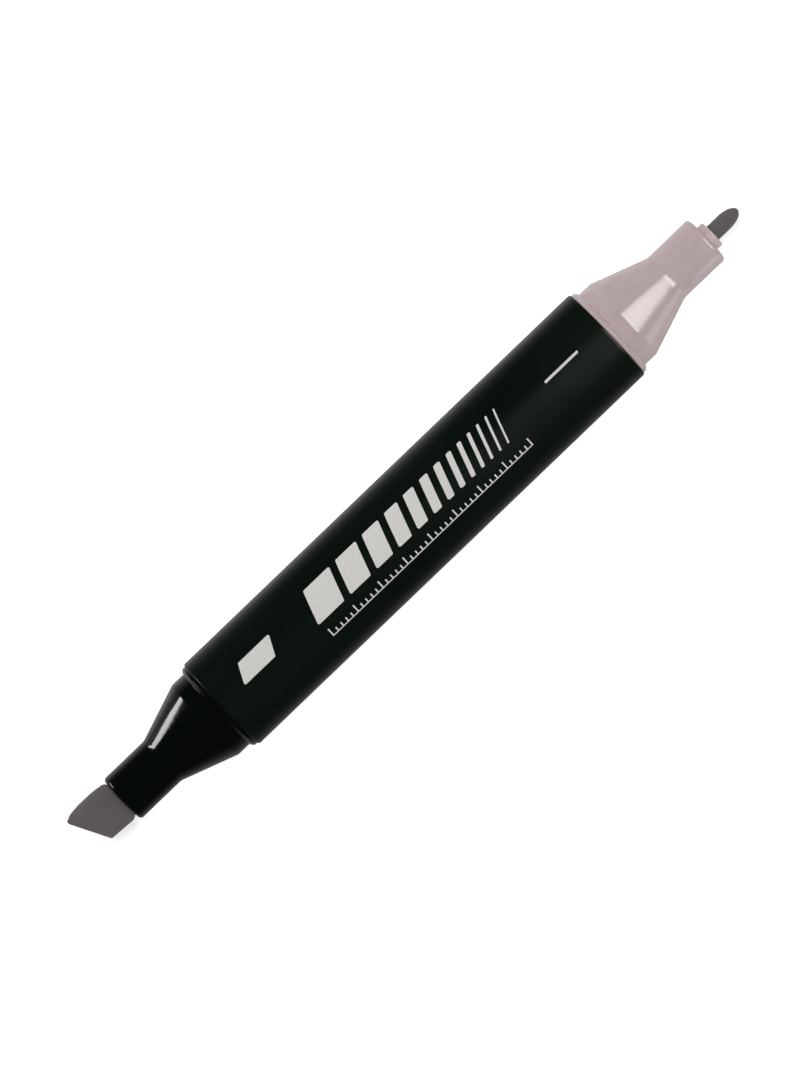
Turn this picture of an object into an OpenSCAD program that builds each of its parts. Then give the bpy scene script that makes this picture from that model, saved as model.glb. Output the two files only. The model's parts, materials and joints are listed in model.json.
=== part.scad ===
// Twin tip marker: a round barrel with a broad chisel nib at one end and a fine bullet nib at the other.
// The axis lies along X. The origin is the middle of the barrel, on its axis.
// The broad end points along -X and the fine end along +X.

/* [Barrel] */
// Outside diameter of the barrel
barrel_d = 16; // [15.8:0.1:17]
// Length of the barrel between its two end faces
barrel_l = 78.2; // [74:0.1:84]
// Thickness of the barrel wall
barrel_wall = 1.2; // [1.1:0.05:1.3]
// Radius of the rounded outer edge at each end of the barrel
barrel_edge_r = 0.3; // [0.2:0.05:0.6]
// Number of ribs along the inside of the barrel, which centre the reservoir
rib_count = 6; // [4:1:8]
// Thickness of each of those ribs
rib_t = 0.8; // [0.6:0.1:1]

/* [Tip holders] */
// Diameter of the flange that stops against the barrel
flange_d = 15.4; // [15:0.1:15.6]
// Thickness of the flange
flange_t = 0.9; // [0.7:0.1:1.2]
// Diameter of the straight band that a cap's skirt fits over
band_d = 14.1; // [13.8:0.1:14.4]
// Length of that band
band_l = 2.3; // [2:0.1:3]
// Length of the conical shoulder
cone_l = 8.7; // [8:0.1:10]
// Outside diameter of the neck that a cap seals on
neck_d = 8; // [7.9:0.1:8.4]
// Length of the neck
neck_l = 8.2; // [7.5:0.1:9]
// Radius of the rounded front edge of the neck
neck_edge_r = 0.6; // [0.3:0.1:0.8]
// Length of the spigot inside the barrel
spigot_l = 8; // [7:0.1:9]
// Thickness of the four fins that stop the reservoir
fin_t = 0.8; // [0.6:0.1:1]

/* [Fine nib sleeve] */
// Diameter of the collar that stands out of the fine neck
collar_d = 4.3; // [4.1:0.1:4.5]
// Length of the collar outside the neck
collar_out = 1.2; // [1:0.1:1.6]
// Outside diameter of the sleeve's body inside the neck
sleeve_d = 5.7; // [5.5:0.1:5.8]

/* [Fine bullet nib] */
// Diameter of the bullet nib
bullet_d = 2.65; // [2.4:0.05:2.8]
// Length of the bullet nib outside the collar
bullet_out = 5.1; // [4.5:0.1:6]
// Length of its rounded nose
nose_l = 2.8; // [2:0.1:3]

/* [Broad chisel nib] */
// Width of the stem that the broad neck grips
stem_w = 6; // [5.6:0.1:6.1]
// Thickness of that stem
stem_h = 4; // [3.6:0.1:4.1]
// Thickness of the writing head
head_h = 4.2; // [4:0.1:4.3]
// Length of the head along its long side
head_long = 7.9; // [7:0.1:9]
// Length of the head along its short side
head_short = 4.9; // [4:0.1:5.2]

/* [Reservoir] */
// Outside diameter of the reservoir with its film
reservoir_d = 11; // [10.6:0.1:11.1]
// Thickness of the film around the fibre
film_t = 0.1; // [0.1:0.05:0.2]
// Depth that each nib's tail reaches into the fibre
tail_in = 5.1; // [4:0.1:7]

/* [Hidden] */
$fn = 96;
arc_steps = 6;          // straight pieces in each rounded corner of an outline
slide_gap = 0.05;       // clearance on each side of a nib that slides
free_gap = 0.1;         // clearance round parts that pass each other without guiding
embed = 0.3;            // depth that a rib or fin runs into the wall that carries it

barrel_end = barrel_l / 2;
barrel_bore_r = barrel_d / 2 - barrel_wall;

bead_h = 0.25;          // the snap bead on each spigot stands this far out
bead_at = 4.8;          // and its middle is this far inside the barrel
bead_l = 0.6;           // length of the bead's crest
bead_ramp = 0.4;        // length of each of its ramps
groove_gap = 0.02;      // extra depth of the groove that the bead snaps into

band_end = flange_t + band_l;
cone_end = band_end + cone_l;
holder_l = cone_end + neck_l;
flange_chamfer = 0.4;
cup_r = reservoir_d / 2 + 0.2;      // inside of the spigot, which takes the reservoir's end
shoulder_in = cone_end - 0.9;       // where the hollow inside the cone ends
shoulder_in_r = 3.3;                // and its radius there
fin_back = 6;                       // the fins reach this far inside the barrel
fin_front = 2;

sleeve_front_wall = 1.2;            // front wall of the fine neck, which stops the sleeve
sleeve_back = shoulder_in - 0.8;
sleeve_flange_r = 3.15;
collar_gap = 0.05;
collar_edge_r = 0.2;
bullet_bore_r = bullet_d / 2 + slide_gap;
mouth_chamfer = 0.2;

reservoir_l = 2 * (barrel_end - fin_back);
nib_tail = reservoir_l / 2 - tail_in;   // distance of each nib's inner end from the middle
bullet_tip = barrel_end + holder_l + collar_out + bullet_out;

head_gap = 0.1;                     // gap between the head and the neck
head_back = barrel_end + holder_l + head_gap;
head_edge_r = 0.4;                  // rounding round both wide faces of the head
head_rear_edge_r = 0.12;            // and along its back, next to the neck
head_side_r = 1.4;                  // its long edges are rounder, so that a cap slips over it
head_rear_r = 0.9;                  // radius of its two rear corners, seen on the wide side
head_rear_y = [-3.31, 3.66];        // how far they reach to each side of the axis
head_long_r = 0.5;                  // radius and reach of its long front corner
head_long_y = 3.42;
head_short_r = 0.25;                // radius and reach of its short front corner
head_short_y = -3.1;
head_crown = [4, 3.87];             // the long side bulges out to here
head_sag = 0.01;                    // and falls off by this times the cube of the distance
stem_r = 0.9;
stem_in_head = 1.5;                 // the stem runs this far into the head
tail_w = 4.4;
tail_h = 3;
tail_r = 0.6;
stem_end = barrel_end - 4.6;        // where the stem steps down to its tail
vent_r = 0.45;                      // air groove on each wide side of the broad nib's slot

// ---- outlines -----------------------------------------------------------------------

function unit(v) = v / norm(v);
function turn(from, to) = let (d = to - from) d > 180 ? d - 360 : d < -180 ? d + 360 : d;

// The points that round the corner b of the path a, b, c with radius r
function corner(a, b, c, r) =
    r == 0 ? [b] :
    let (
        u = unit(a - b),
        v = unit(c - b),
        half = acos(u * v) / 2,
        centre = b + unit(u + v) * r / sin(half),
        first = b + u * r / tan(half) - centre,
        last = b + v * r / tan(half) - centre,
        start = atan2(first.y, first.x),
        sweep = turn(start, atan2(last.y, last.x))
    )
    [for (i = [0 : arc_steps])
        let (angle = start + sweep * i / arc_steps)
        centre + r * [cos(angle), sin(angle)]];

// A closed path of [x, y, corner radius] as plain points
function rounded(path) =
    let (n = len(path), flat = [for (p = path) [p.x, p.y]])
    [for (i = [0 : n - 1])
        each corner(flat[(i + n - 1) % n], flat[i], flat[(i + 1) % n], path[i].z)];

function rounded_rectangle(w, h, r) =
    rounded([[-w / 2, -h / 2, r], [w / 2, -h / 2, r], [w / 2, h / 2, r], [-w / 2, h / 2, r]]);

// The snap bead as steps of an outline, going outwards along the marker
function bead(r, rise) = [
    [r, -bead_at - bead_l / 2 - bead_ramp, 0],
    [r + rise, -bead_at - bead_l / 2, 0],
    [r + rise, -bead_at + bead_l / 2, 0],
    [r, -bead_at + bead_l / 2 + bead_ramp, 0]
];

// ---- helpers ------------------------------------------------------------------------

// Turns a shape drawn along +Z from a barrel end into place: side is -1 for broad and 1 for fine
module at_end(side)
    translate([side * barrel_end, 0, 0]) rotate([0, 90 * side, 0]) children();

// A shape drawn along +Z from the middle of the marker, laid along +X
module along_axis() rotate([0, 90, 0]) children();

// A bar along X from x0 to x1 whose section is the given outline, width along Y
module bar(outline, x0, x1)
    translate([x0, 0, 0]) rotate([90, 0, 90]) linear_extrude(x1 - x0) polygon(outline);

// ---- barrel -------------------------------------------------------------------------

// The groove that a snap bead sits in: the bead's own outline, a little deeper
module barrel_groove(side) {
    edge = bead(barrel_bore_r, bead_h + groove_gap);
    inner_r = barrel_bore_r - embed;
    at_end(side) rotate_extrude() polygon(concat(
        [[inner_r, edge[0].y]],
        [for (p = edge) [p.x, p.y]],
        [[inner_r, edge[3].y]]));
}

module barrel() {
    rib_r = reservoir_d / 2 + slide_gap;
    rib_l = 2 * (barrel_end - spigot_l - embed);
    color([0.04, 0.05, 0.04]) {
        difference() {
            along_axis() rotate_extrude() polygon(rounded([
                [barrel_bore_r, -barrel_end, 0],
                [barrel_d / 2, -barrel_end, barrel_edge_r],
                [barrel_d / 2, barrel_end, barrel_edge_r],
                [barrel_bore_r, barrel_end, 0]]));
            barrel_groove(-1);
            barrel_groove(1);
        }
        for (i = [0 : rib_count - 1])
            rotate([360 * i / rib_count, 0, 0])
                translate([-rib_l / 2, rib_r, -rib_t / 2])
                    cube([rib_l, barrel_bore_r + embed - rib_r, rib_t]);
    }
}

// ---- tip holders --------------------------------------------------------------------

// The outside of a holder, from the back of its spigot to the front of its neck
outside = concat(
    [[barrel_bore_r - 0.3, -spigot_l, 0], [barrel_bore_r, -spigot_l + 0.6, 0]],
    bead(barrel_bore_r, bead_h),
    [[barrel_bore_r, 0, 0],
     [flange_d / 2, 0, 0],
     [flange_d / 2, flange_t - flange_chamfer, 0],
     [flange_d / 2 - flange_chamfer, flange_t, 0],
     [band_d / 2, flange_t, 0],
     [band_d / 2, band_end, 1],
     [neck_d / 2, cone_end, 2.5],
     [neck_d / 2, holder_l, neck_edge_r]]);

// The hollow inside its cone and spigot, coming back
hollow = [
    [shoulder_in_r, shoulder_in, 0],
    [cup_r, band_end, 0],
    [cup_r, -spigot_l, 0]];

// Four fins that stop the reservoir and leave a channel of the given half sizes for the nib
module fins(half_w, half_h)
    for (i = [0 : 3]) {
        inner = i % 2 == 0 ? half_h : half_w;
        rotate([0, 0, 90 * i])
            translate([inner, -fin_t / 2, -fin_back])
                cube([cup_r + embed - inner, fin_t, fin_back + fin_front]);
    }

module broad_tip_holder()
    color([0.015, 0.02, 0.015]) at_end(-1) {
        difference() {
            rotate_extrude() polygon(rounded(concat(
                outside, [[0, holder_l, 0], [0, shoulder_in, 0]], hollow)));
            translate([0, 0, shoulder_in - 1]) {
                linear_extrude(neck_l + 4)
                    polygon(rounded_rectangle(stem_h + 2 * slide_gap, stem_w + 2 * slide_gap,
                                              stem_r + slide_gap));
                for (side = [-1, 1])
                    translate([side * (stem_h / 2 + slide_gap), 0, 0])
                        cylinder(h = neck_l + 4, r = vent_r);
            }
        }
        fins(stem_w / 2 + free_gap, stem_h / 2 + free_gap);
    }

module fine_tip_holder()
    color([0.71, 0.64, 0.64]) at_end(1) {
        front_r = collar_d / 2 + collar_gap;
        rotate_extrude() polygon(rounded(concat(
            outside,
            [[front_r, holder_l, 0],
             [front_r, holder_l - sleeve_front_wall, 0],
             [sleeve_d / 2, holder_l - sleeve_front_wall, 0],
             [sleeve_d / 2, shoulder_in, 0]],
            hollow)));
        fins(bullet_d / 2 + free_gap, bullet_d / 2 + free_gap);
    }

// ---- fine nib -----------------------------------------------------------------------

module fine_nib_sleeve() {
    front = holder_l + collar_out;
    shoulder = holder_l - sleeve_front_wall;
    color([0.68, 0.61, 0.60]) at_end(1) rotate_extrude() polygon(rounded([
        [bullet_bore_r, sleeve_back, 0],
        [sleeve_flange_r, sleeve_back, 0],
        [sleeve_flange_r, sleeve_back + 0.6, 0],
        [sleeve_d / 2, sleeve_back + 0.6, 0],
        [sleeve_d / 2, shoulder, 0],
        [collar_d / 2, shoulder, 0],
        [collar_d / 2, front, collar_edge_r],
        [bullet_bore_r + mouth_chamfer, front, 0],
        [bullet_bore_r, front - mouth_chamfer, 0]]));
}

// A round rod with an elliptical nose
module bullet_nib() {
    steps = 14;
    color([0.36, 0.34, 0.35]) along_axis() rotate_extrude() polygon(concat(
        [[0, nib_tail], [0.5, nib_tail], [bullet_d / 2, nib_tail + 1.6]],
        [for (i = [0 : steps - 1])
            let (angle = 90 * i / steps)
            [bullet_d / 2 * cos(angle), bullet_tip - nose_l * (1 - sin(angle))]],
        [[0, bullet_tip]]));
}

// ---- broad nib ----------------------------------------------------------------------

// A disc of the head's thickness with a rounded rim, its centre at
// [distance in front of the head's back face, distance from the axis]
module head_disc(centre, r, rim)
    translate([-head_back - centre.x, centre.y, 0])
        rotate_extrude($fn = 32) polygon(rounded([
            [0, -head_h / 2, 0],
            [r, -head_h / 2, rim],
            [r, head_h / 2, rim],
            [0, head_h / 2, 0]]));

// Reach of the bulging long side at a distance d in front of the head's back face
function crown(d) = head_crown.y - head_sag * pow(abs(d - head_crown.x), 3);

// The slab that the writing head is cut from, longer on its +Y side
module head_slab() {
    r = head_long_r;
    hull() {
        head_disc([head_rear_r, head_rear_y[0] + head_rear_r], head_rear_r, head_rear_edge_r);
        head_disc([head_rear_r, head_rear_y[1] - head_rear_r], head_rear_r, head_rear_edge_r);
        for (d = [1.6 : 0.75 : head_long - 2 * r])
            head_disc([d, crown(d) - r], r, head_edge_r);
        head_disc([head_long - r, head_long_y - r], r, head_edge_r);
        head_disc([head_short - head_short_r, head_short_y + head_short_r], head_short_r,
                  head_short_r * 0.8);
    }
}

module chisel_head() {
    side_gap = 0.02;        // keeps the slab's sides just inside the rounded bar
    w = head_crown.y - head_rear_y[0] + 2 * side_gap;
    intersection() {
        head_slab();
        translate([0, (head_crown.y + head_rear_y[0]) / 2, 0])
            bar(rounded_rectangle(w, head_h, head_side_r), -head_back - head_long - 1, -head_back + 1);
    }
}

module chisel_nib()
    color([0.36, 0.34, 0.35]) {
        chisel_head();
        bar(rounded_rectangle(stem_w, stem_h, stem_r), -head_back - stem_in_head, -stem_end);
        bar(rounded_rectangle(tail_w, tail_h, tail_r), -stem_end - embed, -nib_tail);
    }

// ---- reservoir ----------------------------------------------------------------------

module reservoir_fibre()
    color([0.30, 0.28, 0.29]) difference() {
        along_axis() cylinder(h = reservoir_l, d = reservoir_d - 2 * film_t, center = true);
        bar(rounded_rectangle(tail_w + 2 * slide_gap, tail_h + 2 * slide_gap, tail_r + slide_gap),
            -reservoir_l / 2 - 1, -nib_tail + slide_gap);
        translate([nib_tail - slide_gap, 0, 0]) along_axis()
            cylinder(h = tail_in + 1, r = bullet_bore_r);
    }

module reservoir_film()
    color([0.80, 0.80, 0.82]) along_axis() difference() {
        cylinder(h = reservoir_l, d = reservoir_d, center = true);
        cylinder(h = reservoir_l + 2, d = reservoir_d - 2 * film_t, center = true);
    }

barrel();
broad_tip_holder();
fine_tip_holder();
fine_nib_sleeve();
chisel_nib();
bullet_nib();
reservoir_fibre();
reservoir_film();
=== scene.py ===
# The twin tip marker lies on its side on a white surface and is seen from straight above.
# Lengths are in metres; a value times mm is a dimension in millimetres.
# +X runs along the marker to its fine end, and +Y to the long side of its chisel nib.
import json
import math

import bmesh
import bpy
from mathutils import Matrix, Vector, noise


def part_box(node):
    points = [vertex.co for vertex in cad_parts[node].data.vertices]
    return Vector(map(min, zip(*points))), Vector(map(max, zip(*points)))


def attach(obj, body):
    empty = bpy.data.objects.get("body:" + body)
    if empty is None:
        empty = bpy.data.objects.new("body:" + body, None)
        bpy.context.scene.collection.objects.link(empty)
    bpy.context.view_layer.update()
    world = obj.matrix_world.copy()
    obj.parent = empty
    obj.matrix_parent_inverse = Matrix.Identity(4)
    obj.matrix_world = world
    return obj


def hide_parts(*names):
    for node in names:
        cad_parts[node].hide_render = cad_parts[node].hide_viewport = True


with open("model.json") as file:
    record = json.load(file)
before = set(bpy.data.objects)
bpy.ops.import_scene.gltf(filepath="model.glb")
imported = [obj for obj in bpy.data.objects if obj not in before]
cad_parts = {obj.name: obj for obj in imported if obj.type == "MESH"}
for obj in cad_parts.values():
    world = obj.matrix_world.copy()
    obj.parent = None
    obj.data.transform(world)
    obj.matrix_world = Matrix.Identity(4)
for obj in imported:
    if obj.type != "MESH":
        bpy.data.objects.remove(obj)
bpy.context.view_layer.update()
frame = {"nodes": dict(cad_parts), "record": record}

mm = 0.001
BROAD, FINE = -1, 1

# ---- sizes: the frame gives the outer ones, and the rest repeat the CAD's own dimensions ----

mounts = {m["name"]: m for m in frame["record"]["mounts"]}


def mount_radius(name):
    return mounts[name]["dims"]["r_mm"] * mm


barrel_r = mount_radius("barrel_grip")
neck_r = mount_radius("fine_cap_seal_seat")
band_r = mount_radius("fine_cap_skirt_seat")
barrel_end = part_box("barrel")[1].x
holder_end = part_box("fine_tip_holder")[1].x
spigot_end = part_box("fine_tip_holder")[0].x
collar_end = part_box("fine_nib_sleeve")[1].x
sleeve_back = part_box("fine_nib_sleeve")[0].x
bullet_back, bullet_tip = (corner.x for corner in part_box("bullet_nib"))
chisel_tip, chisel_back = (-corner.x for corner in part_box("chisel_nib"))

bore_r = 6.8 * mm
barrel_edge = 0.3 * mm
rib_count = 6
rib_r = 5.55 * mm
rib_half_t = 0.4 * mm
rib_end = barrel_end - 8.3 * mm
flange_r = 7.7 * mm
flange_end = barrel_end + 0.9 * mm
flange_chamfer = 0.4 * mm
flange_edge, flange_back_edge, flange_root = 0.15 * mm, 0.08 * mm, 0.12 * mm
band_end = flange_end + 2.3 * mm
band_edge = 1.0 * mm
cone_end = band_end + 8.7 * mm
cone_to_neck = 2.5 * mm
neck_edge = 0.6 * mm
front_wall = holder_end - 1.2 * mm
lead_in_l, lead_in_t = 0.6 * mm, 0.3 * mm
cup_r = 5.7 * mm
hollow_end = cone_end - 0.9 * mm
hollow_end_r = 3.3 * mm

# ---- outlines ----


def arc(a, b, c, radius, step=math.radians(7)):
    """Points that round the corner b of the path a, b, c, with a support point on either side."""
    u, v = (a - b).normalized(), (c - b).normalized()
    half = u.angle(v) / 2
    reach = radius / math.tan(half)
    centre = b + (u + v).normalized() * (radius / math.sin(half))
    first, last = b + u * reach - centre, b + v * reach - centre
    sweep = first.angle_signed(last)
    count = max(2, math.ceil(abs(sweep) / step))
    turned = [centre + Matrix.Rotation(-sweep * i / count, 2) @ first for i in range(count + 1)]
    support = min(0.1 * mm, 0.3 * radius)
    return [b + u * (reach + support), *turned, b + v * (reach + support)]


def rounded(path):
    """The closed path of (x, y, radius), each corner rounded by its radius."""
    flat = [Vector(p[:2]) for p in path]
    points = []
    for i, (_, _, radius) in enumerate(path):
        if radius == 0:
            points.append(flat[i])
        else:
            points += arc(flat[i - 1], flat[i], flat[(i + 1) % len(flat)], radius)
    return [tuple(p) for p in points]


def rectangle(w, h, radius):
    corners = [(-w / 2, -h / 2), (w / 2, -h / 2), (w / 2, h / 2), (-w / 2, h / 2)]
    return rounded([(*corner, radius) for corner in corners])


# ---- meshes ----


def make_object(name, mesh, sharp_over=math.radians(38)):
    mesh.shade_smooth()
    mesh.set_sharp_from_angle(angle=sharp_over)
    obj = bpy.data.objects.new(name, mesh)
    bpy.context.scene.collection.objects.link(obj)
    return obj


def mesh_from(name, vertices, faces):
    """A mesh with its doubled points joined and its faces turned outwards."""
    mesh = bpy.data.meshes.new(name)
    mesh.from_pydata(vertices, [], faces)
    bm = bmesh.new()
    bm.from_mesh(mesh)
    bmesh.ops.remove_doubles(bm, verts=bm.verts, dist=1e-7)
    bmesh.ops.recalc_face_normals(bm, faces=bm.faces)
    bm.to_mesh(mesh)
    bm.free()
    return mesh


def grid_faces(rows, columns, closed):
    """Faces of a grid of rings: each ring closes on itself, and the rows do if closed is true."""
    faces = []
    for j in range(rows if closed else rows - 1):
        k = (j + 1) % rows
        for i in range(columns):
            m = (i + 1) % columns
            faces.append((j * columns + i, j * columns + m, k * columns + m, k * columns + i))
    return faces


def lathe(name, outline, side=FINE, segments=192, closed=True):
    """Turns an outline of (x, radius) about the marker's axis. A radius may be a function of the angle."""
    vertices = []
    for x, radius in outline:
        for i in range(segments):
            angle = math.tau * i / segments
            r = radius(angle) if callable(radius) else radius
            vertices.append((side * x, r * math.sin(angle), r * math.cos(angle)))
    return mesh_from(name, vertices, grid_faces(len(outline), segments, closed))


def bar(name, outline, x_values):
    """A closed bar along X whose section is the outline of (y, z)."""
    vertices = [(x, y, z) for x in x_values for y, z in outline]
    n = len(outline)
    faces = grid_faces(len(x_values), n, closed=False)
    faces.append(tuple(range(n)))
    faces.append(tuple(len(vertices) - n + i for i in range(n)))
    return mesh_from(name, vertices, faces)


def joined(name, meshes):
    """One mesh from several closed ones that stand apart or rest on each other."""
    bm = bmesh.new()
    for mesh in meshes:
        bm.from_mesh(mesh)
    result = bpy.data.meshes.new(name)
    bm.to_mesh(result)
    bm.free()
    return result


def united(name, first, second):
    """The boolean union of two meshes, as a new mesh."""
    objects = [bpy.data.objects.new(name, mesh) for mesh in (first, second)]
    for obj in objects:
        bpy.context.scene.collection.objects.link(obj)
    cut = objects[0].modifiers.new("union", "BOOLEAN")
    cut.operation = "UNION"
    cut.solver = "EXACT"
    cut.object = objects[1]
    depsgraph = bpy.context.evaluated_depsgraph_get()
    result = bpy.data.meshes.new_from_object(objects[0].evaluated_get(depsgraph))
    for obj in objects:
        bpy.data.objects.remove(obj)
    result.name = name
    return result


# ---- materials ----


class Material:
    """A Principled material with helpers that add procedural detail in object coordinates."""

    def __init__(self, name, **sockets):
        self.material = bpy.data.materials.new(name)
        self.material.use_nodes = True
        self.tree = self.material.node_tree
        self.shader = self.tree.nodes["Principled BSDF"]
        self.where = self.tree.nodes.new("ShaderNodeTexCoord").outputs["Object"]
        for socket, value in sockets.items():
            self.shader.inputs[socket.replace("_", " ")].default_value = value

    def stretched(self, scale):
        mapping = self.tree.nodes.new("ShaderNodeMapping")
        mapping.inputs["Scale"].default_value = scale
        self.tree.links.new(self.where, mapping.inputs["Vector"])
        return mapping.outputs["Vector"]

    def noise(self, size, detail=3, stretch=(1, 1, 1), roughness=0.5):
        """Noise whose blobs are about size metres across, times stretch along each axis."""
        texture = self.tree.nodes.new("ShaderNodeTexNoise")
        texture.inputs["Scale"].default_value = 1
        texture.inputs["Detail"].default_value = detail
        texture.inputs["Roughness"].default_value = roughness
        scale = tuple(1 / (size * s) for s in stretch)
        self.tree.links.new(self.stretched(scale), texture.inputs["Vector"])
        return texture.outputs["Fac"]

    def ramp(self, factor, low, high, start=0.3, end=0.7):
        """Maps the factor from start..end to low..high."""
        node = self.tree.nodes.new("ShaderNodeMapRange")
        node.inputs["From Min"].default_value = start
        node.inputs["From Max"].default_value = end
        node.inputs["To Min"].default_value = low
        node.inputs["To Max"].default_value = high
        self.tree.links.new(factor, node.inputs["Value"])
        return node.outputs["Result"]

    def vector_math(self, operation, source, other=(0, 0, 0)):
        node = self.tree.nodes.new("ShaderNodeVectorMath")
        node.operation = operation
        self.tree.links.new(source, node.inputs[0])
        node.inputs[1].default_value = other
        return node.outputs["Value" if operation == "LENGTH" else "Vector"]

    def math(self, operation, source, other):
        node = self.tree.nodes.new("ShaderNodeMath")
        node.operation = operation
        for socket, value in zip(node.inputs, (source, other)):
            if isinstance(value, bpy.types.NodeSocket):
                self.tree.links.new(value, socket)
            else:
                socket.default_value = value
        return node.outputs["Value"]

    def along_axis(self, source, axis):
        node = self.tree.nodes.new("ShaderNodeSeparateXYZ")
        self.tree.links.new(source, node.inputs["Vector"])
        return node.outputs[axis]

    def colours(self, factor, dark, light, start=0.3, end=0.7):
        node = self.tree.nodes.new("ShaderNodeValToRGB")
        node.color_ramp.elements[0].position = start
        node.color_ramp.elements[0].color = (*dark, 1)
        node.color_ramp.elements[1].position = end
        node.color_ramp.elements[1].color = (*light, 1)
        self.tree.links.new(factor, node.inputs["Fac"])
        self.tree.links.new(node.outputs["Color"], self.shader.inputs["Base Color"])

    def roughness(self, factor, low, high):
        self.tree.links.new(self.ramp(factor, low, high), self.shader.inputs["Roughness"])

    def bump(self, *layers):
        """Adds bump from pairs of (factor, height in metres), one on top of the other."""
        below = None
        for factor, height in layers:
            node = self.tree.nodes.new("ShaderNodeBump")
            node.inputs["Strength"].default_value = 1
            node.inputs["Distance"].default_value = height
            self.tree.links.new(factor, node.inputs["Height"])
            if below:
                self.tree.links.new(below, node.inputs["Normal"])
            below = node.outputs["Normal"]
        self.tree.links.new(below, self.shader.inputs["Normal"])


def barrel_material():
    """Satin black polypropylene with a fine moulded grain and the faintest lengthwise scuffs."""
    m = Material("satin_black_plastic", Specular_IOR_Level=0.28)
    grain = m.noise(0.11 * mm, detail=4)
    scuffs = m.noise(0.25 * mm, detail=3, stretch=(60, 1, 1))
    clouds = m.noise(9 * mm, detail=4, stretch=(2, 1, 1))
    m.colours(clouds, (0.0022, 0.0054, 0.0030), (0.0034, 0.0070, 0.0042))
    m.roughness(clouds, 0.24, 0.29)
    m.bump((grain, 0.006 * mm), (scuffs, 0.003 * mm))
    return m.material


def broad_holder_material():
    """Polished black plastic: smooth, with a barely uneven moulded skin."""
    m = Material("gloss_black_plastic", Specular_IOR_Level=0.5)
    skin = m.noise(2.2 * mm, detail=2)
    dust = m.noise(0.3 * mm, detail=5, roughness=0.7)
    m.colours(dust, (0.0012, 0.0024, 0.0012), (0.0030, 0.0044, 0.0030), 0.35, 0.75)
    m.roughness(dust, 0.07, 0.15)
    m.bump((skin, 0.010 * mm))
    return m.material


def fine_holder_material():
    """Warm grey plastic that lets a little light in, with faint mottling."""
    m = Material("grey_translucent_plastic", Specular_IOR_Level=0.5, Subsurface_Weight=0.18,
                 Subsurface_Radius=(1.0, 0.85, 0.85), Subsurface_Scale=1.2 * mm)
    mottle = m.noise(2.6 * mm, detail=5, roughness=0.6)
    skin = m.noise(2.4 * mm, detail=2)
    m.colours(mottle, (0.470, 0.378, 0.380), (0.524, 0.425, 0.428), 0.25, 0.75)
    m.roughness(mottle, 0.13, 0.20)
    m.bump((skin, 0.010 * mm))
    return m.material


def sleeve_material():
    m = Material("grey_sleeve_plastic", Specular_IOR_Level=0.4, Subsurface_Weight=0.12,
                 Subsurface_Radius=(1.0, 0.8, 0.8), Subsurface_Scale=0.8 * mm)
    mottle = m.noise(0.7 * mm, detail=4)
    m.colours(mottle, (0.500, 0.408, 0.400), (0.556, 0.458, 0.449))
    m.roughness(mottle, 0.32, 0.45)
    m.bump((mottle, 0.012 * mm))
    return m.material


def felt_material():
    """Ink-soaked felt: dense fibres along the nib, with pores between them."""
    m = Material("inked_felt", Specular_IOR_Level=0.12, Sheen_Weight=0.12, Sheen_Roughness=0.5)
    fibres = m.noise(0.07 * mm, detail=4, stretch=(9, 1, 1), roughness=0.65)
    pores = m.noise(0.12 * mm, detail=3)
    stain = m.noise(1.6 * mm, detail=4, stretch=(1.5, 1, 1))
    m.colours(m.ramp(stain, 0.35, 0.65), (0.104, 0.092, 0.094), (0.121, 0.108, 0.110))
    m.roughness(fibres, 0.80, 0.98)
    m.bump((pores, 0.030 * mm), (fibres, 0.035 * mm))
    return m.material


def ink_material():
    """Light grey pad print: thin, slightly uneven, a little shinier than the barrel."""
    m = Material("light_grey_print", Specular_IOR_Level=0.35)
    film = m.noise(0.35 * mm, detail=5, roughness=0.7)
    m.colours(film, (0.58, 0.565, 0.55), (0.66, 0.645, 0.625), 0.25, 0.6)
    m.roughness(film, 0.42, 0.55)
    m.bump((film, 0.004 * mm))
    return m.material


def reservoir_material():
    m = Material("inked_fibre", Specular_IOR_Level=0.15, Sheen_Weight=0.2)
    fibres = m.noise(0.09 * mm, detail=4, stretch=(30, 1, 1), roughness=0.7)
    m.colours(fibres, (0.050, 0.044, 0.046), (0.110, 0.098, 0.101))
    m.roughness(fibres, 0.75, 0.95)
    m.bump((fibres, 0.05 * mm))
    return m.material


def film_material():
    m = Material("clear_film", Specular_IOR_Level=0.5, Alpha=0.45)
    creases = m.noise(3 * mm, detail=3, stretch=(4, 1, 1))
    m.colours(creases, (0.55, 0.55, 0.58), (0.66, 0.66, 0.70))
    m.roughness(creases, 0.15, 0.30)
    m.bump((creases, 0.03 * mm))
    return m.material


def dress(piece, material, body, slot, *replaced):
    """Gives a piece its material, lets it ride on its body and hides the CAD parts that it stands in for.
    """
    piece.data.materials.clear()
    piece.data.materials.append(material)
    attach(piece, body)
    if replaced:
        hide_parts(*replaced)


# ---- barrel ----


def barrel_rib(index):
    """A rib that runs along the inside of the barrel, its root just touching the bore."""
    top = math.sqrt(bore_r**2 - rib_half_t**2)
    section = [(-rib_half_t, rib_r), (rib_half_t, rib_r), (rib_half_t, top), (-rib_half_t, top)]
    mesh = bar("rib", section, (-rib_end, rib_end))
    mesh.transform(Matrix.Rotation(math.tau * index / rib_count, 4, "X"))
    return mesh


def make_barrel():
    tube = lathe("tube", rounded([
        (-barrel_end, bore_r, 0), (-barrel_end, barrel_r, barrel_edge),
        (barrel_end, barrel_r, barrel_edge), (barrel_end, bore_r, 0)]), segments=256)
    mesh = joined("barrel_shell", [tube] + [barrel_rib(i) for i in range(rib_count)])
    return make_object("barrel_shell", mesh)


# ---- tip holders ----

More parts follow.
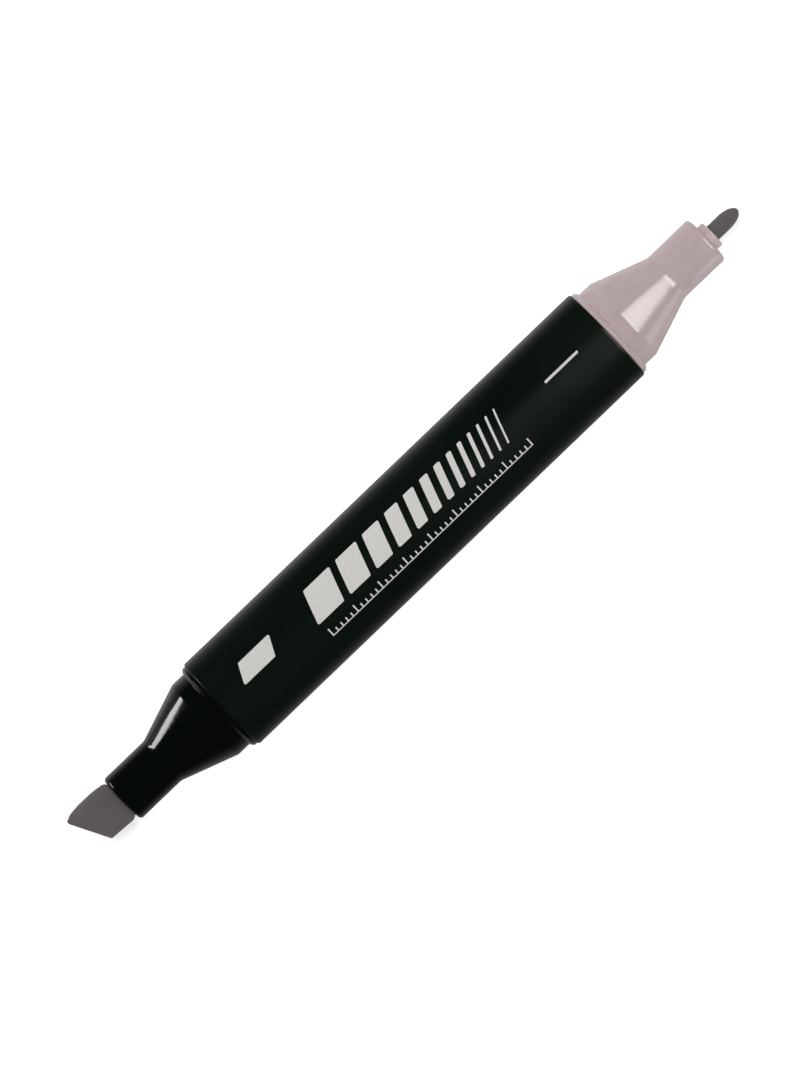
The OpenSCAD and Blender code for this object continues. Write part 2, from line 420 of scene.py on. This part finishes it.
# the outside that both holders share, from the flange to the neck's front edge
holder_outside = [
    (barrel_end, bore_r, 0), (barrel_end, flange_r, flange_back_edge),
    (flange_end - flange_chamfer, flange_r, flange_edge),
    (flange_end, flange_r - flange_chamfer, flange_edge),
    (flange_end, band_r, flange_root), (band_end, band_r, band_edge),
    (cone_end, neck_r, cone_to_neck), (holder_end, neck_r, neck_edge)]
holder_inside = [(hollow_end, hollow_end_r, 0), (band_end, cup_r, 0), (spigot_end, cup_r, 0)]
spigot = [(spigot_end, bore_r - lead_in_t, 0), (spigot_end + lead_in_l, bore_r, 0)]


def slot_radius(angle):
    """Distance from the axis to the wall of the broad neck's slot, air grooves included."""
    half_w, half_h, corner = 3.05 * mm, 2.05 * mm, 0.95 * mm
    vent = 0.45 * mm
    s, c = abs(math.sin(angle)), abs(math.cos(angle))
    straight = min(half_w / max(s, 1e-9), half_h / max(c, 1e-9))
    # the rounded corner is a circle about (half_w - corner, half_h - corner)
    middle = (half_w - corner) * s + (half_h - corner) * c
    inside = middle**2 - (half_w - corner) ** 2 - (half_h - corner) ** 2 + corner**2
    on_corner = straight * s > half_w - corner and straight * c > half_h - corner
    wall = middle + math.sqrt(max(inside, 0)) if on_corner else straight
    groove = half_h * c + math.sqrt(max(vent**2 - (half_h * s) ** 2, 0))
    return max(wall, groove) if half_h * s < vent else wall


def make_broad_holder():
    plain_r, margin = 3.55 * mm, 0.1 * mm
    outline = rounded(spigot + holder_outside + [
        (holder_end, plain_r, 0), (hollow_end, plain_r, 0)] + holder_inside)
    # the slot takes the place of the plain bore that rounded() carried along; it gives back
    # single precision numbers, so the slot's inner end needs the margin to be found
    outline = [(x, slot_radius if x > hollow_end - margin and abs(r - plain_r) < 1e-6 else r)
               for x, r in outline]
    return make_object("broad_holder_shell", lathe("broad_holder_shell", outline, BROAD, 360))


def make_fine_holder():
    mouth_r, mouth_edge, step_r = 2.2 * mm, 0.08 * mm, 2.85 * mm
    outline = rounded(spigot + holder_outside + [
        (holder_end, mouth_r, mouth_edge), (front_wall, mouth_r, 0), (front_wall, step_r, 0),
        (hollow_end, step_r, 0)] + holder_inside)
    return make_object("fine_holder_shell", lathe("fine_holder_shell", outline, FINE, 256))


def make_sleeve():
    """A stepped tube: a rim behind, a body in the neck, and a collar through the neck's mouth."""
    rim_r, body_r, collar_r, nib_r = 3.15 * mm, 2.85 * mm, 2.15 * mm, 1.35 * mm
    rim_end = sleeve_back + 0.6 * mm
    collar_edge, countersink, countersink_edge = 0.2 * mm, 0.2 * mm, 0.05 * mm
    outline = rounded([
        (sleeve_back, nib_r, 0), (sleeve_back, rim_r, 0), (rim_end, rim_r, 0),
        (rim_end, body_r, 0), (front_wall, body_r, 0), (front_wall, collar_r, 0),
        (collar_end, collar_r, collar_edge), (collar_end, nib_r + countersink, countersink_edge),
        (collar_end - countersink, nib_r, 0)])
    return make_object("fine_nib_collar", lathe("fine_nib_collar", outline, FINE, 192))


# ---- felt nibs ----


def roughen(mesh, amount, wanted):
    """Moves points along their normals by fibre-shaped noise, where wanted(point) isn't zero."""
    fibre_l, fibre_w, pore = 1.1 * mm, 0.22 * mm, 0.3 * mm
    normals = [v.normal.copy() for v in mesh.vertices]
    for v, normal in zip(mesh.vertices, normals):
        weight = wanted(v.co)
        if weight:
            fibres = noise.noise(Vector((v.co.x / fibre_l, v.co.y / fibre_w, v.co.z / fibre_w)))
            pores = noise.noise(v.co / pore)
            v.co += normal * (amount * weight * (0.6 * fibres + 0.4 * pores - 0.2))


def ease(x, start, end):
    """0 before start, 1 after end, smooth between."""
    t = min(max((x - start) / (end - start), 0), 1)
    return t * t * (3 - 2 * t)


def make_bullet():
    """A felt rod with an elliptical nose, its visible length in fine rings."""
    r, nose = 1.325 * mm, 2.8 * mm
    tail_r, tail_l = 0.5 * mm, 1.6 * mm
    straight, steps = 24, 32
    start, end = collar_end - 0.5 * mm, bullet_tip - nose
    outline = [(bullet_back, 0), (bullet_back, tail_r), (bullet_back + tail_l, r),
               (start - 0.1 * mm, r)]
    outline += [(start + (end - start) * i / straight, r) for i in range(straight)]
    for i in range(steps + 1):
        turn = math.pi / 2 * i / steps
        outline.append((end + nose * math.sin(turn), r * math.cos(turn)))
    mesh = lathe("bullet_felt", outline, FINE, 120, closed=False)
    roughen(mesh, 0.05 * mm, lambda p: ease(p.x, collar_end, collar_end + 0.4 * mm))
    return make_object("bullet_felt", mesh)


head_back = holder_end + 0.1 * mm
head_h = 4.2 * mm
head_rim, head_rear_rim = 0.40 * mm, 0.12 * mm
head_side_r = 1.4 * mm
head_long, head_short = 7.9 * mm, 4.9 * mm
head_rear_low, head_rear_high = -3.31 * mm, 3.66 * mm
head_front_low, head_front_high = -3.1 * mm, 3.42 * mm
head_crown = Vector((4.0 * mm, 3.87 * mm))


def head_discs():
    """Centre and radius of the discs that the chisel head's outline wraps, seen on its wide side."""
    rear_r, long_r, short_r = 0.9 * mm, 0.5 * mm, 0.25 * mm
    discs = [
        (Vector((rear_r, head_rear_low + rear_r)), rear_r),
        (Vector((rear_r, head_rear_high - rear_r)), rear_r),
        (Vector((head_long - long_r, head_front_high - long_r)), long_r),
        (Vector((head_short - short_r, head_front_low + short_r)), short_r),
    ]
    # the long side bulges: it falls off from its crown with the cube of the distance
    start, end, count = 1.6 * mm, 6.85 * mm, 22
    for i in range(count):
        d = start + (end - start) * i / (count - 1)
        reach = head_crown.y - 0.01 * mm * abs((d - head_crown.x) / mm) ** 3
        discs.append((Vector((d, reach - long_r)), long_r))
    return discs


def head_outline(spacing=0.16 * mm, directions=720):
    """Points and outward directions round the head, evenly spaced, seen on its wide side."""
    discs = head_discs()
    coarse = []
    for i in range(directions + 1):
        way = Vector((math.cos(math.tau * i / directions), math.sin(math.tau * i / directions)))
        centre, radius = max(discs, key=lambda disc: disc[0].dot(way) + disc[1])
        coarse.append((centre + way * radius, way))
    points = []
    for (p, n), (q, m) in zip(coarse, coarse[1:]):
        count = max(1, round((q - p).length / spacing)) if (q - p).length > 2 * spacing else 1
        points += [(p.lerp(q, i / count), n.lerp(m, i / count).normalized()) for i in range(count)]
    thinned = [points[0]]
    for point in points[1:]:
        if (point[0] - thinned[-1][0]).length > 0.6 * spacing:
            thinned.append(point)
    return thinned


def under_sides(y, z):
    """Keeps z within the round of the head's long edges."""
    middle = (head_crown.y + head_rear_low) / 2
    into = abs(y - middle) - ((head_crown.y - head_rear_low) / 2 - head_side_r)
    if into <= 0:
        return z
    top = head_h / 2 - head_side_r + math.sqrt(max(head_side_r**2 - into**2, 0))
    return max(-top, min(top, z))


def make_chisel():
    """The writing head with its fibre relief, united with the stem and tail that hold it."""
    outline = head_outline()
    middle = sum((p for p, _ in outline), Vector((0, 0))) / len(outline)
    vertices = []

    def add_ring(side, turn, z=None, shrink=1.0):
        """A ring on the rim at turn radians from the wide face, or on the side wall at height z."""
        for point, way in outline:
            rim = head_rim + (head_rear_rim - head_rim) * ease(-way.x, 0.3, 0.9)
            p = middle + (point - way * (rim * (1 - math.sin(turn))) - middle) * shrink
            height = side * (head_h / 2 - rim * (1 - math.cos(turn))) if z is None else z
            vertices.append((-head_back - p.x, p.y, under_sides(p.y, height)))

    flat_rings, rim_rings, wall_rings = 20, 6, 20
    flats = [i / flat_rings for i in range(flat_rings)]
    turns = [math.pi / 2 * i / rim_rings for i in range(rim_rings + 1)]
    side_wall = head_h / 2 - head_rim
    for shrink in flats:
        add_ring(1, 0, shrink=shrink)
    for turn in turns:
        add_ring(1, turn)
    for i in range(1, wall_rings):
        add_ring(1, math.pi / 2, z=side_wall * (1 - 2 * i / wall_rings))
    for turn in reversed(turns):
        add_ring(-1, turn)
    for shrink in reversed(flats):
        add_ring(-1, 0, shrink=shrink)
    rings = len(vertices) // len(outline)
    head = mesh_from("head", vertices, grid_faces(rings, len(outline), closed=False))
    roughen(head, 0.06 * mm, lambda p: ease(-p.x, head_back, head_back + 0.8 * mm))
    stem_w, stem_h, stem_edge = 6 * mm, 4 * mm, 0.9 * mm
    tail_w, tail_h, tail_edge = 4.4 * mm, 3 * mm, 0.6 * mm
    stem_end = barrel_end - 4.6 * mm
    into_head, into_stem = 1.5 * mm, 0.3 * mm
    stem = bar("stem", rectangle(stem_w, stem_h, stem_edge), (-head_back - into_head, -stem_end))
    tail = bar("tail", rectangle(tail_w, tail_h, tail_edge), (-stem_end - into_stem, -chisel_back))
    return make_object("chisel_felt", united("chisel_felt", head, united("shank", stem, tail)))


# ---- print on the barrel ----

ink_up = 0.012 * mm
ink_down = 0.010 * mm
print_start = -barrel_end


def print_patch(name, outlines):
    """Flat outlines of (distance from the broad end, distance round the barrel) as a film of ink."""
    bm = bmesh.new()
    for outline in outlines:
        bm.faces.new([bm.verts.new((x, t, 0)) for x, t in outline])
    # cut into strips that are narrow enough to bend round the barrel
    strip_w, snap = 0.2 * mm, 0.001 * mm
    reach = [v.co.y for v in bm.verts]
    t = min(reach) + strip_w
    while t < max(reach):
        parts = bm.verts[:] + bm.edges[:] + bm.faces[:]
        bmesh.ops.bisect_plane(bm, geom=parts, dist=snap, plane_co=(0, t, 0), plane_no=(0, 1, 0))
        t += strip_w
    bmesh.ops.recalc_face_normals(bm, faces=bm.faces)
    if sum(f.normal.z for f in bm.faces) < 0:
        bmesh.ops.reverse_faces(bm, faces=bm.faces)
    top = bmesh.ops.extrude_face_region(bm, geom=bm.faces[:])["geom"]
    raised = {v for v in top if isinstance(v, bmesh.types.BMVert)}
    for v in bm.verts:
        radius = barrel_r + (ink_up if v in raised else -ink_down)
        angle = v.co.y / barrel_r
        v.co = (print_start + v.co.x, radius * math.sin(angle), radius * math.cos(angle))
    bmesh.ops.recalc_face_normals(bm, faces=bm.faces)
    mesh = bpy.data.meshes.new(name)
    bm.to_mesh(mesh)
    bm.free()
    return make_object(name, mesh)


def slanted(x, width, low, high, lean, corner):
    """A parallelogram from low to high round the barrel that leans towards the fine end."""
    shift = (high - low) * lean
    path = [(x, low, corner), (x + width, low, corner),
            (x + width + shift, high, corner), (x + shift, high, corner)]
    return rounded(path)


def line_scale():
    """Strokes that get thinner from the broad end to the fine one, like a chart of line widths."""
    start, end = 18.4 * mm, 58.6 * mm
    low, high = -1.5 * mm, 3.8 * mm
    thickest, thinnest, count, lean = 5.2 * mm, 0.3 * mm, 13, 0.34
    ratio = (thinnest / thickest) ** (1 / (count - 1))
    widths = [thickest * ratio**i for i in range(count)]
    gap = (end - start - sum(widths) - (high - low) * lean) / (count - 1)
    strokes, x = [], start
    for width in widths:
        strokes.append(slanted(x, width, low, high, lean, min(0.25 * mm, width * 0.3)))
        x += width + gap
    return print_patch("print_line_scale", strokes)


def ruler():
    """A fine rule with ticks below the strokes, every fifth one longer."""
    start, spacing, count = 18.9 * mm, 1.0 * mm, 41
    low, short, tall = -4.35 * mm, 0.85 * mm, 1.45 * mm
    line_w, tick_w, corner = 0.16 * mm, 0.22 * mm, 0.03 * mm
    marks = []
    for i in range(count):
        x = start + i * spacing
        height = tall if i % 5 == 0 else short
        marks.append(slanted(x, tick_w, low + line_w, low + height, 0, corner))
    marks.append(slanted(start, (count - 1) * spacing + tick_w, low, low + line_w, 0, corner))
    return print_patch("print_ruler", marks)


def end_marks():
    """One broad stroke near the broad end and one thin stroke near the fine end."""
    broad = slanted(4.6 * mm, 6.2 * mm, -0.4 * mm, 2.7 * mm, 0.5, 0.25 * mm)
    fine = slanted(66.4 * mm, 6.6 * mm, 1.0 * mm, 1.4 * mm, 0.5, 0.15 * mm)
    return print_patch("print_end_marks", [broad, fine])


# ---- studio ----


def fade_in_reflections(m, share, near, tilt):
    """Lets a share of the surface's light into reflections, and less beyond the distance near.

    The share is larger on the marker's +Y side by the part tilt, and smaller on the other.
    """
    nodes, links = m.tree.nodes, m.tree.links
    # distance from the marker's axis, which ends at the nibs
    along = m.vector_math("SUBTRACT", m.vector_math("ABSOLUTE", m.where), (bullet_tip, 0, 0))
    aside = m.vector_math("MULTIPLY", m.vector_math("MAXIMUM", along), (1, 1, 0))
    distance = m.math("MAXIMUM", m.vector_math("LENGTH", aside), near)
    sideways = m.math("DIVIDE", m.along_axis(m.where, "Y"), distance)
    uneven = m.math("ADD", m.math("MULTIPLY", sideways, tilt), 1.0)
    fading = m.math("POWER", m.math("DIVIDE", near, distance), 1.5)
    kept = m.math("MULTIPLY", m.math("MULTIPLY", fading, share), uneven)
    ray = nodes.new("ShaderNodeLightPath")
    lost = m.math("MULTIPLY", m.math("SUBTRACT", 1.0, kept), ray.outputs["Is Glossy Ray"])
    black = nodes.new("ShaderNodeBsdfDiffuse")
    black.inputs["Color"].default_value = (0, 0, 0, 1)
    mix = nodes.new("ShaderNodeMixShader")
    links.new(lost, mix.inputs["Fac"])
    links.new(m.shader.outputs["BSDF"], mix.inputs[1])
    links.new(black.outputs["BSDF"], mix.inputs[2])
    links.new(mix.outputs["Shader"], nodes["Material Output"].inputs["Surface"])


def dim_by_nibs(m, glow, dimmed):
    """Lets the surface glow, and less so round the nibs: the weaker glow there is painted shade, so that
    the nibs keep a faint shadow.
    """
    beyond_neck = m.ramp(m.along_axis(m.vector_math("ABSOLUTE", m.where), "X"), 0, 1, 57 * mm, 61 * mm)
    near = m.ramp(m.vector_math("LENGTH", m.where), 1, 0, 85 * mm, 140 * mm)
    drop = m.math("MULTIPLY", m.math("MULTIPLY", beyond_neck, near), dimmed - glow)
    m.tree.links.new(m.math("ADD", drop, glow), m.shader.inputs["Emission Strength"])


def stage_floor():
    """A white light table that the barrel rests on, far wider than any view."""
    half, gap = 4.0, 0.05 * mm
    z = -barrel_r - gap
    mesh = mesh_from("floor", [(-half, -half, z), (half, -half, z), (half, half, z), (-half, half, z)],
                     [(0, 1, 2, 3)])
    floor = bpy.data.objects.new("floor", mesh)
    bpy.context.scene.collection.objects.link(floor)
    m = Material("white_light_table", Specular_IOR_Level=0.1)
    m.shader.inputs["Emission Color"].default_value = (1, 1, 1, 1)
    # the floor glows evenly, except for painted shade round the nibs where its glow is weaker
    dim_by_nibs(m, 0.80, 0.50)
    paper = m.noise(0.6 * mm, detail=3)
    m.colours(paper, (0.74, 0.74, 0.74), (0.76, 0.76, 0.76))
    m.roughness(paper, 0.8, 0.9)
    fade_in_reflections(m, 0.30, 15 * mm, 0.45)
    m.material.cycles.emission_sampling = "NONE"
    floor.data.materials.append(m.material)


def area_light(name, way, distance, size, target=(0, 0, 0), along=(0, 1, 0), shine=0.0, fill=0.0):
    """A soft box that faces the target from the direction way, its width running along.

    Given a shine it is seen in reflections only, with that brightness. Given a fill it lights
    matt surfaces only, and a white one that faces it shows that brightness.
    """
    way = Vector(way).normalized()
    side = Vector(along)
    side = (side - way * side.dot(way)).normalized()
    lamp = bpy.data.lights.new(name, "AREA")
    lamp.shape = "RECTANGLE"
    lamp.size, lamp.size_y = size
    area = size[0] * size[1]
    lamp.energy = shine * math.pi * area if shine else fill * (math.pi * distance) ** 2
    obj = bpy.data.objects.new(name, lamp)
    turned = Matrix((side, way.cross(side), way)).transposed().to_4x4()
    obj.matrix_world = Matrix.Translation(Vector(target) + way * distance) @ turned
    obj.visible_camera = False
    obj.visible_diffuse = not shine
    obj.visible_glossy = bool(shine)
    bpy.context.scene.collection.objects.link(obj)


def light_rig():
    # reflected by the front of the fine cone
    area_light("key", (0.494, -0.293, 0.819), 0.200, (0.104, 0.215), (0.0446, -0.0035, 0.004),
               along=(0.865, 0.068, -0.497), shine=9.3)
    # a low strip beside the chisel's long side, reflected as a line along the black cone,
    # and the floor lit under it
    area_light("strip", (-0.525, 0.848, 0.074), 0.0597, (0.0290, 0.0092), (-0.0471, 0.0026, 0.0045),
               along=(-0.541, -0.400, 0.740), shine=11)
    area_light("glimmer", (0, 0, -1), 0.0075, (0.030, 0.030), (-0.078, 0.040, 0), along=(1, 0, 0),
               shine=0.35)
    # a low card beside the fine end, brightest in its middle, and the floor lit in front of it
    for size in (0.7, 1.0, 1.25):
        area_light("card", (0.45, -0.88, -0.12), 0.036, (0.014 * size, 0.017 * size),
                   (0.048, -0.0035, 0.004), along=(0.89, 0.455, 0), shine=1.4)
    area_light("patch", (0, 0, -1), 0.0075, (0.022, 0.026), (0.060, -0.024, 0), along=(1, 0, 0),
               shine=0.2)
    # a dim panel above the barrel's fine end
    area_light("glow", (0, 0, 1), 0.150, (0.022, 0.100), (0.033, 0, 0.008), along=(1, 0, 0),
               shine=0.5)
    # light on matt surfaces: from above, from the chisel's long side and a little from the other
    area_light("top", (-0.02, 0.12, 0.99), 1.6, (0.24, 0.24), fill=0.36)
    area_light("sky", (-0.10, 0.76, 0.64), 1.6, (1.8, 1.4), along=(1, 0, 0), fill=0.30)
    area_light("back", (0.20, -0.88, 0.42), 1.6, (1.8, 0.8), along=(1, 0, 0), fill=0.20)


def surroundings():
    """White to the camera, grey to matt surfaces and almost black to reflections."""
    world = bpy.data.worlds.new("studio")
    bpy.context.scene.world = world
    world.use_nodes = True
    tree = world.node_tree
    ray = tree.nodes.new("ShaderNodeLightPath")
    shader = tree.nodes["Background"]
    shader.inputs["Color"].default_value = (1, 1, 1, 1)
    shader.inputs["Strength"].default_value = 0.35
    for seen_by, strength in (("Is Glossy Ray", 0.012), ("Is Camera Ray", 1.0)):
        other = tree.nodes.new("ShaderNodeBackground")
        other.inputs["Strength"].default_value = strength
        mix = tree.nodes.new("ShaderNodeMixShader")
        tree.links.new(ray.outputs[seen_by], mix.inputs["Fac"])
        tree.links.new(shader.outputs[0], mix.inputs[1])
        tree.links.new(other.outputs["Background"], mix.inputs[2])
        shader = mix
    tree.links.new(shader.outputs["Shader"], tree.nodes["World Output"].inputs["Surface"])


def camera():
    """Straight above, with the marker rising to the right across the picture."""
    heading = math.radians(43.8)
    view_height = 157.9 * mm
    aim = Vector((-3.06 * mm, -1.24 * mm, 0))
    lens, sensor = 250, 36
    data = bpy.data.cameras.new("camera")
    data.lens, data.sensor_width = lens, sensor
    cam = bpy.data.objects.new("camera", data)
    cam.location = aim + Vector((0, 0, view_height * lens / sensor))
    cam.rotation_euler = (0, 0, -heading)
    data.clip_start, data.clip_end = 0.01, 20
    bpy.context.scene.collection.objects.link(cam)
    bpy.context.scene.camera = cam


def colour_management():
    settings = bpy.context.scene.view_settings
    settings.view_transform = "Standard"
    settings.look = "None"


# ---- the marker ----

black_satin = barrel_material()
grey_gloss = fine_holder_material()
felt = felt_material()
ink = ink_material()

dress(make_barrel(), black_satin, "body", "barrel", "barrel")
dress(make_broad_holder(), broad_holder_material(), "body", "broad_holder", "broad_tip_holder")
dress(make_fine_holder(), grey_gloss, "body", "fine_holder", "fine_tip_holder")
dress(make_sleeve(), sleeve_material(), "body", "nib_sleeve", "fine_nib_sleeve")
dress(make_bullet(), felt, "fine_nib", "nib_felt", "bullet_nib")
dress(make_chisel(), felt, "broad_nib", "nib_felt", "chisel_nib")
for mark in (line_scale(), ruler(), end_marks()):
    dress(mark, ink, "body", "print")
for node, material in (("reservoir_fibre", reservoir_material()), ("reservoir_film", film_material())):
    frame["nodes"][node].data.materials.clear()
    frame["nodes"][node].data.materials.append(material)

stage_floor()
light_rig()
surroundings()
camera()
colour_management()
